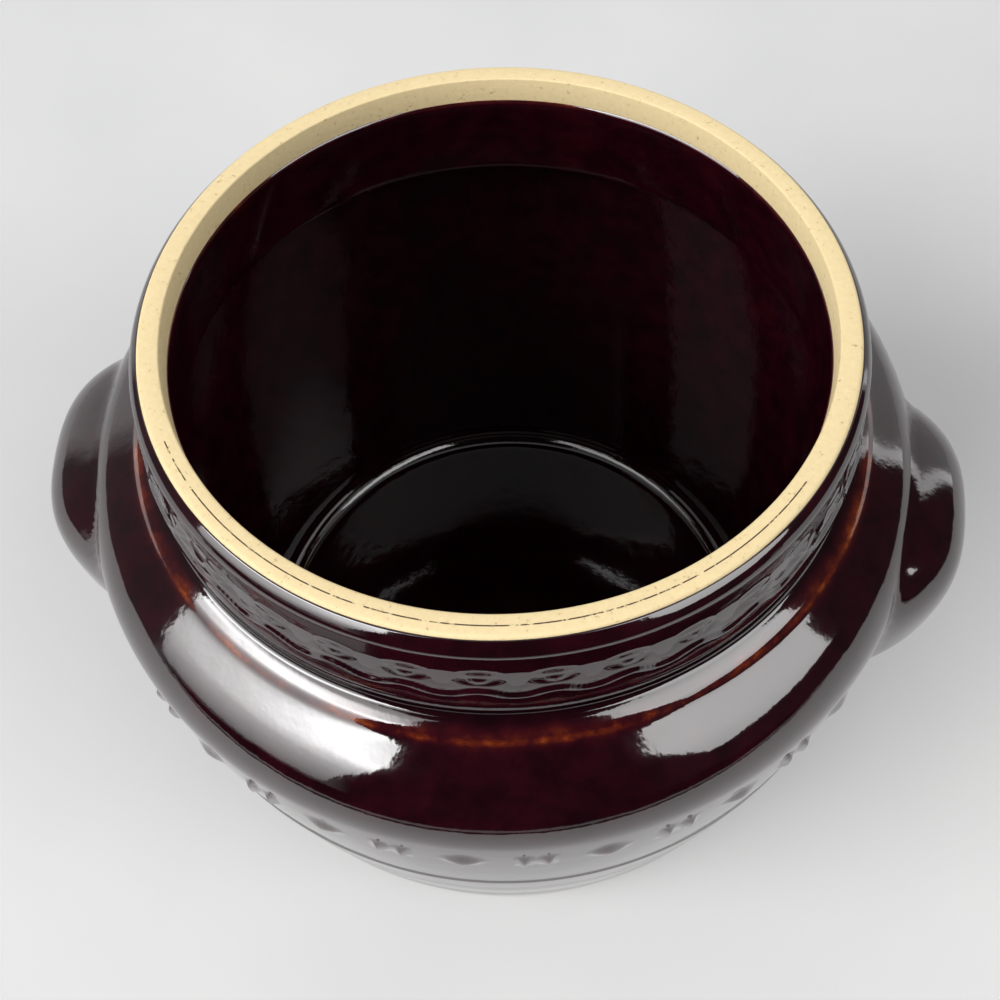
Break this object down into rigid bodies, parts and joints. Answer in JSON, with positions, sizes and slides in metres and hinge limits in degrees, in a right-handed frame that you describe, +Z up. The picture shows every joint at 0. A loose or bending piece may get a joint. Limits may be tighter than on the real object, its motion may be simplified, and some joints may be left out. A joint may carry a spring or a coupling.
{
  "type": "stoneware bean pot",
  "caption": "Wide open stoneware pot with a straight flared neck, two lug handles, a waved neck band, a glossy brown glaze and a bare clay lip.",
  "frame": {"origin": "centre of the foot plane, under the middle of the pot", "axes": "+Z up through the mouth, +X through the middle of the right lug handle, -Y towards the side seen in front"},
  "size_m": [0.2102, 0.1876, 0.164],
  "materials": {
    "bare_clay": "matt, unglazed, fine speckle",
    "brown_glaze": "glossy dark maroon brown glaze",
    "relief_glaze": "glossy glaze that breaks rusty brown on raised edges"
  },
  "bodies": {
    "root": {"body": "bare_clay", "outer_glaze": "brown_glaze", "inner_glaze": "brown_glaze", "left_lug": "brown_glaze", "right_lug": "brown_glaze", "rim_roll": "brown_glaze", "neck_wave": "relief_glaze", "wave_beads": "relief_glaze", "crest_ring": "relief_glaze", "belly_rings": "brown_glaze", "belly_studs": "relief_glaze", "belly_bars": "relief_glaze"}
  },
  "joints": []
}
